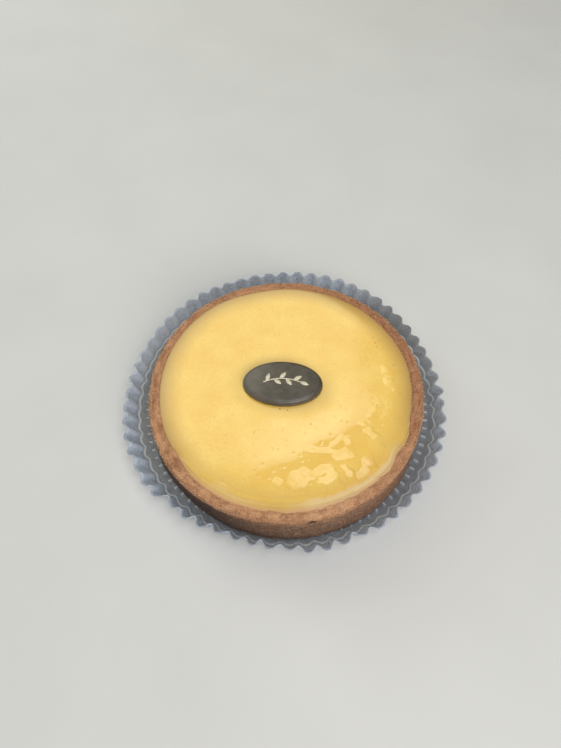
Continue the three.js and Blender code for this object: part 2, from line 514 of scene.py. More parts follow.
def crust_relief(profile, plain):
    """Relief of the baked surface at points of the plain crust, and how craggy each is."""
    inward, top = wall_shares(profile)
    above_foot = smoothstep(profile[:, 1:], FOOT, FOOT + FOOT_PLAIN)
    seen = above_foot * (profile[:, :1] >= HOLLOW_RADIUS - RADIUS_SLACK)
    crest = np.exp(-(((inward - RUGGED_CREST) / RUGGED_SPREAD) ** 2)) * top
    rugged = RUGGED_WALL + (1 - RUGGED_WALL) * crest
    crumbs = CRUMB_LEVEL - cell_field(plain, CRUMB_SIZE)
    crags = fractal_field(plain, CRAG_SIZE, 3)
    swells = fractal_field(plain + SWELL_OFFSET, SWELL_SIZE, 2)
    relief = rugged * (CRUMB_RELIEF * crumbs + CRAG_RELIEF * crags) + SWELL_RELIEF * swells
    return seen * relief, crags + crumbs


def streak_field(profile, azimuth):
    """Noise that is drawn out along the rim, for its fine streaks."""
    steps = np.diff(profile, axis=0, prepend=profile[:1])
    run = np.linalg.norm(steps, axis=1).cumsum()[:, None]
    return fractal_field(around(CRUST_RADIUS / STREAK_LENGTH, azimuth, run / STREAK_WIDTH), 1.0, 3)


def make_crust(material, pale_material):
    profile = crust_profile()
    azimuth = azimuths(CRUST_COLUMNS)
    inward, top = wall_shares(profile)
    radius, height = crust_form(profile, azimuth)
    relief, crags = crust_relief(profile, around(radius, azimuth, height))
    outside = inward < OUTSIDE
    hole = outside * slot_hole(azimuth, height)
    # The front left side, whose wall is painted darker as shade
    dark = bump_at(azimuth, *SHADED_SIDE)
    depth = np.maximum(outside * (RIM - height) / CRUST_HEIGHT - CREST_RUN * dark, 0)
    slope = np.gradient(profile, axis=0)
    slope /= np.linalg.norm(slope, axis=1)[:, None]
    relief = relief - SLOT_DEPTH * hole
    rings = around(radius + relief * slope[:, 1:], azimuth, height - relief * slope[:, :1])
    crust = skin("baked_crust", rings, TART_MIDDLE, FOOT, FOOT + CRUST_FLOOR)
    point_values(crust, depth.shape, {
        "crags": crags,
        "inward": inward * top,
        "hole": hole,
        "dark": dark * smoothstep(depth, *SHADE_DEPTHS),
        "baked": bump_at(azimuth, *BAKED_SIDE),
        "floury": bump_at(azimuth, *HIGHLIT_SIDE) * (1 - smoothstep(depth, *HIGHLIGHT_DEPTHS)),
        "streak": top * streak_field(profile, azimuth),
    })
    point_values(crust, depth.shape, {"depth": depth}, (1, 0))
    dress(crust, material, "baked_pastry", "crust")
    make_grains(rings, pale_material)


def make_grains(rings, material):
    rng = np.random.default_rng(GRAIN_SEED)
    rim_row = np.abs(crust_profile()[:, 1] - RIM).argmin()
    away = np.abs(rng.normal(0, GRAIN_SPREAD, GRAINS))
    side = np.where(rng.uniform(0, 1, GRAINS) < GRAIN_OUTER_SHARE, -1, 1)
    rows = rim_row + np.clip(away * side, *GRAIN_ROWS).astype(int)
    columns = rng.integers(0, CRUST_COLUMNS, GRAINS)
    sizes = rng.uniform(*GRAIN_SIZES, GRAINS)
    grains = scatter("crust_grains", rings[rows, columns] + (*TART_MIDDLE, 0), sizes, rng)
    dress(grains, material, "baked_pastry")


def pastry_material():
    look = Shader("baked_pastry")
    golden = ((0.32, linear(160, 111, 77)), (0.5, linear(178, 129, 91)), (0.7, linear(196, 148, 109)))
    crest = look.ramp(look.noise(6.0, 4.0), *golden)
    fine = look.noise(0.4, 3.0, 0.7)
    baked = look.ramp(fine, (0.35, linear(84, 65, 52)), (0.65, linear(156, 122, 98)))
    # Crest colour, then the darker wall and darker foot: partly the pastry's own colour, partly painted
    # shade
    look.colour = look.mix(look.span(look.value("depth"), *WALL_DEPTHS), crest, baked)
    look.tint((84, 68, 58), "depth", 0.45, 1.0, share=0.8)
    look.tint((184, 138, 104), "inward", 0.45, 0.9, share=0.5)
    look.tint((214, 168, 128), fine, 0.5, 0.7, share=0.5)
    look.tint((104, 70, 50), fine, 0.5, 0.3, share=0.35)
    look.tint((214, 162, 121), "streak", 0.05, 0.5, share=0.4)
    look.tint((128, 84, 58), "streak", -0.05, -0.5, share=0.4)
    # Painted shade on the front left wall
    look.tint((50, 43, 39), "dark", share=0.85)
    look.tint((142, 91, 62), "baked", share=0.6)
    # Painted highlight on the crest at the front, a little to the right
    look.tint((220, 174, 132), "floury", share=0.35)
    # Painted shade in the hollows between the crumbs and crags
    look.tint((108, 68, 45), "crags", 0.0, -0.6, share=0.4)
    # Painted shade inside the small hole in the wall
    look.tint((38, 26, 20), "hole")
    look.bump(fine, 0.18)
    return look.done(Roughness=0.75, Specular_IOR_Level=0.35)


def grain_material():
    look = Shader("pale_grain")
    fine = look.noise(0.3, 2.0)
    crest = look.ramp(fine, (0.3, linear(160, 113, 80)), (0.7, linear(230, 190, 150)))
    wall = look.ramp(fine, (0.3, linear(74, 56, 46)), (0.7, linear(164, 130, 104)))
    # Grains down the wall are darker, like the wall: partly their own colour, partly painted shade
    high, low = ((RIM - depth * CRUST_HEIGHT) * MM for depth in WALL_DEPTHS)
    look.colour = look.mix(look.span(look.height(), low, high), wall, crest)
    look.bump(fine, 0.05)
    return look.done(Roughness=0.35)


# Curd

# Fineness of the mesh: rings in the middle, in the open field and along the edge
CURD_COLUMNS = 720
MIDDLE_RADIUS = 8
MIDDLE_RINGS = 6
FIELD_RADIUS = 34
FIELD_RINGS = 88
EDGE_RINGS = 20
FILM_RINGS = 18

# The edge rolls down at the sides and the back, the hidden side stands off the crust, and the plaque
# lies in a shallow seat; round it, out to HALO_WIDTH, the curd is also painted darker as shade
CURD_ROLL_DROP = 0.3
CURD_ROLL_WIDTH = 4.0
CURD_GAP = 0.3
CURD_SIDE_DROP = 4.0
CURD_SWELL = 0.012
CURD_SWELL_LENGTH = 12.0
CURD_SWELL_SEED = 4
HALO_WIDTH = 4.5
SEAT_DROP = 0.12

# Film of glaze that climbs the crust's inner slope at the front, furthest at the front left, and sinks
# into the crust at its end. Its rings go FILM_SPARE further
FILM_REACH = 2.1
FILM_SPARE = 0.25
FILM_THICK = 0.12
FILM_SINK = 0.6
FILM_TAPER = 0.4
FILM_BLEND = 0.35
FILM_SIDE = 0.15
FILM_FRONT = 1.4
FILM_FAR = 0.6
FILM_FAR_SIDE = (-108, 28)
FILM_UNEVEN = 0.3
FILM_THINS = 0.2
FILM_FADE = 0.2

# Raised lip of glaze below the film, of uneven width. Sectors are (middle, turns where they end)
LIP_SECTOR = (-78, (46, 66))
LIP_RISE = 0.22
LIP_WIDTH = 1.5
LIP_FEATURE = 4.0
LIP_UNEVEN = 0.9
LIP_SPAN = (0.4, 1.8)

# Where the lip looks pale and dry, its paleness partly the crust seen through thin glaze and partly a
# painted reflection, and where the curd is shaded along the crust, less at the front
PALE_SECTOR = (-58, (16, 34))
PALE_LEFT = 0.5
PALE_LEFT_SIDE = (-112, 16)
PALE_LIP = (0.3, 0.7)
DRY_WIDTHS = (1.0, 2.4)
SHADE_WIDTH = 7.0
SHADE_POWER = 1.3
LIT_SHARE = 0.5
LIT_SECTOR = (-80, (45, 75))

# Raised patches of thick glaze at the front right, each falling away to the back left and so
# catching the panel's light: (place from the tart's middle, half length, half depth, skew, slope)
GLAZE_PATCHES = (
    ((15.1, -18.4), 3.0, 0.7, 0.2, 0.04),
    ((18.0, -18.1), 1.3, 1.4, 0.0, 0.045),
    ((10.4, -21.4), 5.0, 1.2, -0.59, 0.035),
    ((16.6, -22.3), 3.6, 2.1, -0.3, 0.055),
    ((17.2, -26.6), 1.6, 3.4, 0.0, 0.065),
    ((14.2, -31.4), 3.0, 0.6, 0.65, 0.07),
    ((11.6, -29.0), 4.0, 3.2, 0.0, 0.055),
    ((4.9, -30.6), 4.2, 3.0, 0.0, 0.055),
    ((-1.8, -31.7), 1.2, 1.2, 0.0, 0.055),
    ((24.0, -24.6), 1.9, 1.7, 0.2, 0.08),
    ((22.2, -28.0), 3.4, 2.2, 0.5, 0.085),
    ((25.0, -15.0), 1.7, 2.4, 0.0, 0.075),
    ((22.8, -12.1), 1.4, 0.8, 0.0, 0.045),
    ((26.0, -7.6), 2.8, 0.7, 0.57, 0.045),
    ((28.1, -4.5), 0.6, 0.6, 0.0, 0.06),
    ((30.9, 7.8), 1.6, 1.3, 0.0, 0.08),
    ((31.6, 3.7), 1.4, 1.2, 0.0, 0.08),
)
PATCH_FALL = np.array((-0.51, 0.86))
PATCH_ACROSS = np.array((0.86, 0.51))
PATCH_FADE = 1.5
PATCH_STRAY = 0.18
PATCH_FEATURE = 3.0
PATCH_SEEDS = (9, 10)
# Span over which the curd is painted darker as shade, towards the front right
FRONT_SHADE_SPAN = (14, 26)

# Small dents and pores in the glaze, and brown specks in it, from the tart's middle
DENTS = ((-9.2, 27.6), (-3.2, 29.1), (1.2, 28.0), (3.6, 31.2), (-7.5, 33.3), (-13.7, 33.9), (-11.0, 35.4))
DENT_RADIUS = 0.9
DENT_DEPTH = 0.1
PORES = 260
PORE_SEED = 23
PORE_FIELD = 37.0
PORE_RADIUS = 0.5
PORE_DEPTH = 0.025
SPECKS = (
    (7.6, -13.1), (-1.8, -8.4), (-6.4, -6.9), (0.4, -8.7),
    (27.6, 19.7), (28.3, 17.6), (28.6, 15.9), (29.6, 18.6), (26.0, 21.0), (33.9, 9.1),
)
SPECK_SEED = 5
SPECK_SIZE = 0.16
SPECK_SPAN = (0.8, 1.4)
SPECK_FLAT = 0.6


def curd_radii(edge):
    """Radii of the rings of the curd's top, closest together near the crust."""
    middle = np.linspace(0, MIDDLE_RADIUS, MIDDLE_RINGS + 1)[1:]
    field = np.linspace(MIDDLE_RADIUS, FIELD_RADIUS, FIELD_RINGS + 1)[1:]
    shares = np.linspace(0, 1, EDGE_RINGS + 1)[1:, None]
    plain = np.concatenate([middle, field])[:, None] + np.zeros_like(edge)
    return np.concatenate([plain, FIELD_RADIUS + shares * (edge - FIELD_RADIUS)])


def slope_radius(climbed, azimuth):
    """Radius on the crust's inner slope, climbed millimetres outwards from its edge."""
    share = climbed / CRUST_WALL
    from_hollow = HOLLOW_RADIUS + climbed + hollow_shift(azimuth) * (1 - share)
    return from_hollow + wave_sum(WALL_WAVES, azimuth) * share


def slope_height(climbed, azimuth):
    """Height of the crust's inner slope, climbed millimetres outwards from its edge."""
    share = np.clip(climbed / (CRUST_WALL - CREST_INSET), 0, 1)
    fall = 1 - np.sqrt(share)
    return RIM - INNER_EDGE_DROP * fall ** 2 + wave_sum(CREST_WAVES, azimuth) * share


def soft_max(first, second, blend):
    """The greater of two heights, rounded where they meet."""
    middle = (first + second) / 2
    return middle + np.sqrt(((first - second) / 2) ** 2 + (blend / 2) ** 2)


def patch_rise(x, y, place, half_length, half_depth, skew):
    """Height, at a slope of 1, of a patch that falls evenly to the back left and fades to the front."""
    across = (x - place[0]) * PATCH_ACROSS[0] + (y - place[1]) * PATCH_ACROSS[1]
    back = (x - place[0]) * PATCH_FALL[0] + (y - place[1]) * PATCH_FALL[1] - skew * across
    depth = half_depth * np.clip(1 - (across / half_length) ** 4, 0, None)
    front = smoothstep(-depth - back, 0, 2 * half_depth + PATCH_FADE)
    return np.clip(depth - back, 0, 2 * depth) * (1 - front)


def patch_relief(x, y):
    """Height of all the raised patches of glaze, whose outlines stray a little."""
    stray_x = x + PATCH_STRAY * swell(x, y, PATCH_SEEDS[0], PATCH_FEATURE)
    stray_y = y + PATCH_STRAY * swell(x, y, PATCH_SEEDS[1], PATCH_FEATURE)
    raised = np.zeros_like(x)
    for place, half_length, half_depth, skew, slope in GLAZE_PATCHES:
        rise = patch_rise(stray_x, stray_y, place, half_length, half_depth, skew)
        raised = np.maximum(raised, slope * rise)
    return raised


def pore_field(x, y):
    """Depths of the small pores of the glaze, in shares of the depth of one."""
    rng = np.random.default_rng(PORE_SEED)
    headings = rng.uniform(0, TURN, PORES)
    reaches = PORE_FIELD * np.sqrt(rng.uniform(0, 1, PORES))
    pores = np.zeros_like(x)
    for heading, reach in zip(headings, reaches):
        away = np.hypot(x - reach * math.cos(heading), y - reach * math.sin(heading))
        pores = pores + mound(away, PORE_RADIUS)
    return pores


def curd_relief(x, y, pores):
    """Swells, patches, dents and pores of the glaze over the curd's level."""
    relief = patch_relief(x, y) + CURD_SWELL * swell(x, y, CURD_SWELL_SEED, CURD_SWELL_LENGTH)
    for place in DENTS:
        relief = relief - DENT_DEPTH * mound(np.hypot(x - place[0], y - place[1]), DENT_RADIUS)
    return relief - PORE_DEPTH * pores


def plaque_distance(x, y):
    """Rough distance from the plaque's edge, in millimetres, of places from the tart's middle."""
    half = (PLAQUE_HIGH - PLAQUE_LOW)[:2] / 2
    offset = PLAQUE_MIDDLE - TART_MIDDLE
    across = (x - offset[0]) / half[0]
    along = (y - offset[1]) / half[1]
    return (np.hypot(across, along) - 1) * half[1]


def film_end(azimuth, share, uneven):
    """How far the film climbs the crust's inner slope."""
    front = FILM_FRONT + FILM_FAR * bump_at(azimuth, *FILM_FAR_SIDE)
    end = FILM_SIDE + share * (front - FILM_SIDE + FILM_UNEVEN * uneven)
    return np.minimum(end, FILM_REACH - FILM_SPARE)


def film_height(level, climbed, azimuth, end):
    """Height of the film, which is rounded where it leaves the curd's level."""
    sunk = FILM_SINK * smoothstep(climbed, end - FILM_TAPER, end + FILM_TAPER)
    slope = slope_height(climbed, azimuth) + FILM_THICK
    return soft_max(level, slope, FILM_BLEND * np.minimum(climbed, 1)) - sunk


def curd_under(edge, azimuth):
    """Rings of the curd's hidden underside and side, from the foot up."""
    foot = np.full_like(edge, HOLLOW_RADIUS - INNER_CORNER - CURD_GAP)
    side = edge - CURD_GAP
    rings = ((foot, CURD_FLOOR), (side, CURD_FLOOR + INNER_CORNER), (side, RIM - CURD_SIDE_DROP))
    return np.concatenate([around(radius, azimuth, level) for radius, level in rings])


def edge_values(azimuth, inside, share, lip):
    """Values for the colours at places that are inside millimetres in from the curd's edge."""
    pale = np.maximum(sector(azimuth, *PALE_SECTOR), PALE_LEFT * bump_at(azimuth, *PALE_LEFT_SIDE))
    lit = LIT_SHARE * sector(azimuth, *LIT_SECTOR)
    return {
        "pale": pale * smoothstep(lip, *PALE_LIP),
        "shade": (1 - lit) * np.clip(1 - inside / SHADE_WIDTH, 0, 1) ** SHADE_POWER,
        "wet": 1 - share * (1 - smoothstep(inside, *DRY_WIDTHS)),
    }


def make_curd(material):
    azimuth = azimuths(CURD_COLUMNS)
    edge = HOLLOW_RADIUS + hollow_shift(azimuth)
    climbed = np.linspace(0, FILM_REACH, FILM_RINGS + 1)[1:, None]
    pool = curd_radii(edge)
    radius = np.concatenate([pool, slope_radius(climbed, azimuth)])
    inside = np.maximum(edge - radius, 0)
    x = radius * np.cos(azimuth)
    y = radius * np.sin(azimuth)
    share = sector(azimuth, *LIP_SECTOR)
    uneven = fractal_field(around(edge, azimuth, 0.0), LIP_FEATURE, 3)
    lip_width = LIP_WIDTH * np.clip(1 + LIP_UNEVEN * uneven, *LIP_SPAN)
    lip = share * np.clip(1 - inside / lip_width, 0, 1)
    roll = (1 - share) * np.clip(1 - inside / CURD_ROLL_WIDTH, 0, None) ** 2
    # Round the plaque: the curd's shallow seat, and painted shade
    halo = 1 - smoothstep(plaque_distance(x, y), 0, HALO_WIDTH)
    pores = pore_field(x, y)
    height = CURD_LEVEL - CURD_ROLL_DROP * roll + LIP_RISE * lip ** 2
    height = height + curd_relief(x, y, pores) - SEAT_DROP * halo
    end = film_end(azimuth, share, uneven)
    height[len(pool):] = film_height(height[len(pool):], climbed, azimuth, end)
    under = curd_under(edge, azimuth)
    rings = np.concatenate([under, np.stack([x, y, height], -1)[::-1]])
    curd = skin("glazed_curd", rings, TART_MIDDLE, CURD_FLOOR, CURD_LEVEL)
    thin = np.zeros_like(radius)
    thin[len(pool):] = smoothstep(climbed, FILM_THINS * end, end + FILM_FADE)
    # Painted shade, darker towards the front right
    thick = smoothstep(-PATCH_FALL[0] * x - PATCH_FALL[1] * y, *FRONT_SHADE_SPAN)
    kept = {"halo": halo, "thick": thick, "thin": thin, "pores": pores}
    kept.update(edge_values(azimuth, inside, share, lip))
    hidden = np.zeros(under.shape[:2])
    for name, values in kept.items():
        on_rings = np.concatenate([hidden, np.clip(values, 0, 1)[::-1]])
        point_values(curd, on_rings.shape, {name: on_rings}, (0, values[0].mean()))
    dress(curd, material, "glazed_curd", "lemon_curd")


def make_specks(material):
    places = np.array([(*place, CURD_LEVEL) for place in np.add(SPECKS, TART_MIDDLE)])
    rng = np.random.default_rng(SPECK_SEED)
    sizes = SPECK_SIZE * rng.uniform(*SPECK_SPAN, len(SPECKS))
    specks = scatter("curd_specks", places, sizes, rng, flat=SPECK_FLAT)
    dress(specks, material, "baked_pastry")


def speck_material():
    return plain_material("brown_speck", 0.2, 2.0, linear(132, 84, 28), linear(166, 110, 44), 0.4)


def curd_material():
    look = Shader("glazed_curd")
    cloud = look.noise(9.0, 4.0, 0.6)
    look.colour = look.ramp(cloud, (0.3, linear(246, 198, 91)), (0.7, linear(252, 216, 114)))
    look.tint((230, 186, 88), look.noise(0.7, 3.0, 0.7), 0.35, 0.65, share=0.4)
    # Painted shade in the small pores
    look.tint((196, 150, 66), "pores", share=0.2)
    # Painted shade towards the front right
    look.tint((232, 186, 86), "thick", share=0.2)
    # Painted shade round the plaque
    look.tint((214, 178, 84), "halo", share=0.5)
    look.tint((185, 148, 84), "shade")
    # Pale lip: partly the crust seen through thin glaze, partly a painted reflection
    look.tint((226, 196, 146), "pale", share=0.8)
    look.tint((190, 147, 109), "thin", share=0.9)
    look.bump(look.noise(0.6, 2.0), 0.03)
    coat = {"Coat_Weight": look.value("wet"), "Coat_Roughness": 0.03, "Coat_IOR": 1.82}
    return look.done(Roughness=0.5, Specular_IOR_Level=0.2, **coat)


# Plaque

# The lowest edge runs in and up under the curd's level, and the face's rings end near its middle
PLAQUE_COLUMNS = 240
PLAQUE_EDGE = 1.8
PLAQUE_CROWN = 0.35
PLAQUE_SUNK = 0.5
UNDERCUT_IN = 0.6
UNDERCUT_UP = 0.7
FACE_ROWS = 40
FACE_MIDDLE = 0.3

# Slight waves of its surface above the curd, and where its colour changes, near the curd and to the
# left, where a sheen is painted lighter
PLAQUE_WAVE = 0.05
PLAQUE_WAVE_SIZE = 3.0
PLAQUE_WAVE_START = 1
CONTACT_HEIGHT = 0.45
SHEEN_SHARES = (0.1, 0.8)

# A plain sprig printed on the plaque, from the plaque's middle; leaves as (share of the stem, turn)
SPRIG_STEM = ((-6.0, -0.7), (-0.6, 2.0), (5.2, -0.2))
SPRIG_LEAVES = ((0.1, 50), (0.28, -50), (0.46, 48), (0.64, -48), (0.82, 44), (1.0, 0))
STEM_STEPS = 24
STEM_HALF_WIDTH = 0.16
LEAF_POINTS = 17
LEAF_LENGTH = 2.9
LEAF_HALF_WIDTH = 0.62
LEAF_TIP = 0.02
LEAF_POWER = 0.8
PRINT_RISE = 0.06
PRINT_SINK = 0.1


def plaque_profile(half_long):
    """Points (half length, height) from the plaque's underside over its edge to its middle."""
    foot = CURD_LEVEL - PLAQUE_SUNK
    top = PLAQUE_HIGH[2]
    shoulder = top - PLAQUE_CROWN
    widest = (half_long, foot + UNDERCUT_UP)
    face = (half_long - PLAQUE_EDGE, shoulder)
    return np.concatenate([
        line((half_long - UNDERCUT_IN, foot), widest, 4),
        curve(widest, (half_long, shoulder), face, 16),
        curve(face, (half_long / 2, top), (FACE_MIDDLE, top), FACE_ROWS),
    ])


def uneven_plaque(points):
    """Points of the plaque with its slight waves added to their heights."""
    waves = PLAQUE_WAVE * fractal_field(points, PLAQUE_WAVE_SIZE, 2)
    points[..., 2] += waves * smoothstep(points[..., 2], CURD_LEVEL, CURD_LEVEL + PLAQUE_WAVE_START)
    return points


def make_plaque(material, sprig_material):
    half_long, half_short = (PLAQUE_HIGH - PLAQUE_LOW)[:2] / 2
    profile = plaque_profile(half_long)
    azimuth = azimuths(PLAQUE_COLUMNS)
    long_half = profile[:, :1]
    face = half_long - PLAQUE_EDGE
    short_half = long_half - (half_long - half_short) * np.minimum(long_half / face, 1)
    x = long_half * np.cos(azimuth)
    y = short_half * np.sin(azimuth)
    rings = uneven_plaque(np.stack(np.broadcast_arrays(x, y, profile[:, 1:]), -1))
    high_pole = rings[-1, :, 2].mean()
    plaque = skin("chocolate_plaque", rings, PLAQUE_MIDDLE, CURD_LEVEL - PLAQUE_SUNK, high_pole)
    foot = 1 - smoothstep(rings[..., 2], CURD_LEVEL, CURD_LEVEL + CONTACT_HEIGHT)
    point_values(plaque, x.shape, {"foot": foot}, (1, 0))
    point_values(plaque, x.shape, {"dusty": smoothstep(-x / half_long, *SHEEN_SHARES)})
    dress(plaque, material, "chocolate", "plaque")
    make_sprig(profile[-FACE_ROWS:], 1 - (half_long - half_short) / face, sprig_material)


def sprig_ribbons():
    """Middle lines and half widths, from the plaque's middle, of the sprig's stem and leaves."""
    stem = np.concatenate([curve(*SPRIG_STEM, STEM_STEPS), [SPRIG_STEM[-1]]])
    ribbons = [(stem, np.full(len(stem), STEM_HALF_WIDTH))]
    run = np.gradient(stem, axis=0)
    share = np.linspace(0, 1, LEAF_POINTS)
    widths = LEAF_TIP + LEAF_HALF_WIDTH * np.sin(math.pi * share) ** LEAF_POWER
    for along, turn in SPRIG_LEAVES:
        at = round(along * (len(stem) - 1))
        heading = math.atan2(run[at, 1], run[at, 0]) + math.radians(turn)
        tip = LEAF_LENGTH * np.array((math.cos(heading), math.sin(heading)))
        ribbons.append((stem[at] + share[:, None] * tip, widths))
    return ribbons


def ribbon_faces(start, rows):
    """Faces of a closed ribbon with rows of four corners, numbered from start."""
    first = start + 4 * np.arange(rows - 1)
    faces = []
    for side in range(4):
        after = (side + 1) % 4
        quads = np.stack([first + side, first + 4 + side, first + 4 + after, first + after], -1)
        faces += quads.tolist()
    last = start + 4 * (rows - 1)
    return faces + [[start, start + 1, start + 2, start + 3], [last + 3, last + 2, last + 1, last]]


def make_sprig(face_profile, squeeze, material):
    """The sprig as thin closed ribbons that lie on the plaque's face."""
    all_points = []
    all_faces = []
    count = 0
    for middle, widths in sprig_ribbons():
        run = np.gradient(middle, axis=0)
        run /= np.linalg.norm(run, axis=1)[:, None]
        left = middle + widths[:, None] * np.stack([-run[:, 1], run[:, 0]], -1)
        right = 2 * middle - left
        corners = np.stack([left, left, right, right], 1)
        half = np.hypot(corners[..., 0], corners[..., 1] / squeeze)
        level = np.interp(half, face_profile[::-1, 0], face_profile[::-1, 1])
        points = uneven_plaque(np.concatenate([corners, level[..., None]], -1))
        points[:, :, 2] += np.array((-PRINT_SINK, PRINT_RISE, PRINT_RISE, -PRINT_SINK))
        points[..., :2] += PLAQUE_MIDDLE
        all_faces += ribbon_faces(count, len(middle))
        all_points.append(points.reshape(-1, 3))
        count += 4 * len(middle)
    sprig = mesh_object("plaque_sprig", np.concatenate(all_points), all_faces)
    dress(sprig, material, "chocolate")


def print_material():
    return plain_material("cream_print", 0.4, 3.0, linear(206, 196, 168), linear(228, 220, 196), 0.5)


def chocolate_material():
    look = Shader("chocolate")
    bloom = look.noise(3.0, 4.0, 0.6)
    look.colour = look.ramp(bloom, (0.35, linear(68, 62, 53)), (0.7, linear(90, 84, 74)))
    fine = look.noise(0.4, 3.0, 0.7)
    look.tint((134, 128, 126), fine, 0.55, 0.75, share=0.35)
    # Painted sheen, lighter towards the plaque's left
    look.tint((126, 121, 112), "dusty", share=0.4)
    look.tint((104, 58, 34), "foot")
    look.bump(fine, 0.03)
    return look.done(Roughness=0.33)


# Case

# Fineness of the mesh: the floor's rings are close together outside FINE_RADIUS
CASE_COLUMNS = FLUTES * 16
INNER_RADIUS = 30
FINE_RADIUS = 40

# Flutes out of step and of uneven depth, starting just inside the floor's edge, on a mottled sheet
FLUTE_STRAY = 0.8
FLUTE_UNEVEN = 0.7
FLUTE_FEATURE = 9.0
FLUTE_START = 2.2
FLUTE_FULL = 0.8
CASE_MOTTLE = 0.08
MOTTLE_SIZE = 1.4

# Accidents of this one case, each (azimuth, spread, size): deeper and shallower flutes, buckles of
# the rim, the wall's foot leaning in outside LEAN_RADII, and, in the same form, where the wall is
# painted lighter as light at the back left and darker as shade at the back right
FLUTE_SWELLS = ((180, 60, -0.3), (-116, 14, 0.5))
CASE_BUCKLES = ((-139, 6.0, 0.7), (-131, 3.0, -1.2), (-110, 4.0, -0.5), (-79, 5.0, 0.8), (-65, 2.5, -0.9))
CASE_LEANS = ((190, 50, 1.2), (-102, 34, 1.1))
LEAN_RADII = (44, 48)
CASE_LIGHT_AND_SHADE = ((155, 25, 1), (36, 28, -1))

# Bead along the floor's crease, and short ribs round the floor, both painted pale as a highlight
CREASE_INSET = 0.8
CREASE_BEAD = 0.2
CREASE_WIDTH = 0.3
RIBS = 96
RIB_START = 45.8
RIB_END = 48.2
RIB_TAPER = 0.6
RIB_HEIGHT = 0.3
RIB_HIGHLIGHT = 0.8


def case_profile():
    """Points (radius, height) from the middle of the underside round the rim to the floor."""
    lean = (CASE_RIM_RADIUS - CASE_FLOOR_RADIUS) / CASE_HEIGHT
    foot = CASE_FLOOR_RADIUS - CASE_CORNER
    knee = CASE_FLOOR_RADIUS + CASE_CORNER * lean
    rim_out = (CASE_RIM_RADIUS, CASE_HEIGHT)
    rim_in = (CASE_RIM_RADIUS - SHEET, CASE_HEIGHT)
    knee_in = (knee - SHEET, CASE_CORNER + SHEET / 2)
    foot_in = (foot - SHEET / 2, SHEET)
    return np.concatenate([
        line((INNER_RADIUS, 0), (foot, 0), 3),
        curve((foot, 0), (CASE_FLOOR_RADIUS, 0), (knee, CASE_CORNER), 6),
        line((knee, CASE_CORNER), rim_out, 10),
        line(rim_out, rim_in, 2),
        line(rim_in, knee_in, 10),
        curve(knee_in, (CASE_FLOOR_RADIUS - SHEET, SHEET), foot_in, 14),
        line(foot_in, (FINE_RADIUS, SHEET), 30),
        line((FINE_RADIUS, SHEET), (INNER_RADIUS, SHEET), 2),
    ])


def case_form(profile, azimuth):
    """Radii of the case with its flutes and accidents, and the wave of the flutes on its wall."""
    plain = profile[:, :1]
    height = profile[:, 1:]
    slow = fractal_field(around(CASE_RIM_RADIUS, azimuth, 0.0), FLUTE_FEATURE, 2)
    flute = FLUTES * (azimuth - FLUTE_CREST) + FLUTE_STRAY * slow
    wave = np.cos(flute) - FLUTE_NICK * np.cos(2 * flute)
    climb = height / CASE_HEIGHT
    swing = FLUTE_SWING_FLOOR + (FLUTE_SWING_RIM - FLUTE_SWING_FLOOR) * climb
    swing = swing * (1 + FLUTE_UNEVEN * slow + bump_sum(FLUTE_SWELLS, azimuth))
    started = smoothstep(plain, CASE_FLOOR_RADIUS - FLUTE_START, CASE_FLOOR_RADIUS - FLUTE_FULL)
    bent = wave_sum(CASE_WAVES, azimuth) + bump_sum(CASE_BUCKLES, azimuth)
    leaning = bump_sum(CASE_LEANS, azimuth) * (1 - climb) * smoothstep(plain, *LEAN_RADII)
    radius = plain + started * swing * wave + climb * bent - leaning
    mottle = fractal_field(around(radius, azimuth, height), MOTTLE_SIZE, 2)
    return radius + CASE_MOTTLE * started * mottle, started * wave


def floor_relief(profile, azimuth):
    """Shares of the crease's bead and of the ribs, which are on the upper side only."""
    plain = profile[:, :1]
    upper = np.arange(len(profile))[:, None] > np.argmax(profile[:, 1])
    crease = np.exp(-(((plain - CASE_FLOOR_RADIUS + CREASE_INSET) / CREASE_WIDTH) ** 2))
    rib = np.clip(np.cos(RIBS * azimuth) * 2 - 1, 0, 1)
    starts = smoothstep(plain, RIB_START, RIB_START + RIB_TAPER)
    ends = 1 - smoothstep(plain, RIB_END - RIB_TAPER, RIB_END)
    return upper * crease, upper * rib * (starts * ends)


def make_case(material):
    profile = case_profile()
    azimuth = azimuths(CASE_COLUMNS)
    radius, pocket = case_form(profile, azimuth)
    crease, rib = floor_relief(profile, azimuth)
    height = profile[:, 1:] + (CREASE_BEAD * crease + RIB_HEIGHT * rib)
    case = skin("clear_case", around(radius, azimuth, height), CASE_MIDDLE, 0, SHEET)
    point_values(case, radius.shape, {
        "bright": np.maximum(crease, RIB_HIGHLIGHT * rib),
        "wall": smoothstep(profile[:, 1:], SHEET, CASE_CORNER + SHEET),
        "frost": bump_sum(CASE_LIGHT_AND_SHADE, azimuth),
        "pocket": pocket,
    })
    dress(case, material, "clear_plastic", "pastry_case")


def plastic_material():
    look = Shader("clear_plastic")
    haze = look.noise(1.2, 3.0)
    floor = look.ramp(haze, (0.35, linear(124, 127, 132)), (0.7, linear(152, 156, 162)))
    look.colour = look.ramp(haze, (0.35, linear(152, 169, 192)), (0.7, linear(206, 222, 244)))
    # Painted light and shade along the flutes: lighter where the sheet turns in, darker where it turns
    # out
    look.tint((230, 240, 252), "pocket", 0, -1, share=0.4)
    look.tint((112, 119, 128), "pocket", share=0.3)
    # Painted light on the back left wall, and painted shade on the back right wall
    look.tint((236, 244, 252), "frost", share=0.5)
    look.tint((72, 75, 79), "frost", 0, -1, share=0.9)
    look.colour = look.mix(look.value("wall"), floor, look.colour)
    # Painted highlight along the crease's bead and the ribs
    look.tint((236, 242, 248), "bright", 0.2, 0.8, share=0.9)
    look.bump(haze, 0.05)
    return look.done(Roughness=0.22, Alpha=0.5)


# Stage

